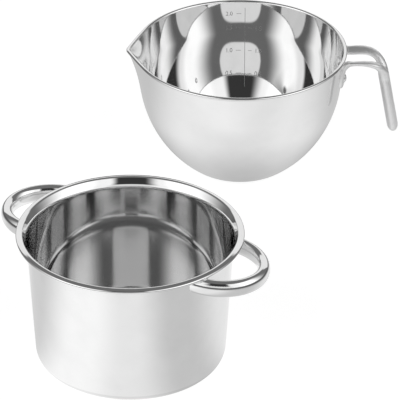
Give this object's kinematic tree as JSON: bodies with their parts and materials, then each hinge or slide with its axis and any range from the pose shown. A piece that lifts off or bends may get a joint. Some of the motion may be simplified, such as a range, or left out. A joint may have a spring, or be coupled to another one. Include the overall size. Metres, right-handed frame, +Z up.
{
  "type": "double boiler",
  "caption": "Stovetop double boiler: a pot with a flared lip and two welded loop handles, and a deep bowl with a pouring spout, rolled rim and riveted forked handle that hangs in its mouth",
  "frame": {"origin": "middle of the flat underside of the pot, where it stands on the stove", "axes": "+Z up; +X to the right in the picture, the way the bowl's handle points; +Y away from the camera, to where the bowl stands"},
  "size_m": [0.3353, 0.5021, 0.115],
  "materials": {
    "polished_steel": "polished",
    "satin_steel": "satin"
  },
  "bodies": {
    "pot": {"pot_shell": "polished_steel", "pot_handle_right": "polished_steel", "pot_handle_left": "polished_steel"},
    "bowl": {"bowl_shell": "polished_steel", "handle_outer_shell": "satin_steel", "handle_inner_shell": "satin_steel", "rivet_front": "polished_steel", "rivet_back": "polished_steel"}
  },
  "joints": [
    {"name": "bowl_lift", "type": "slide", "parent": "pot", "child": "bowl", "axis": [0, 0, 1], "range_m": [0, 0.2]}
  ]
}
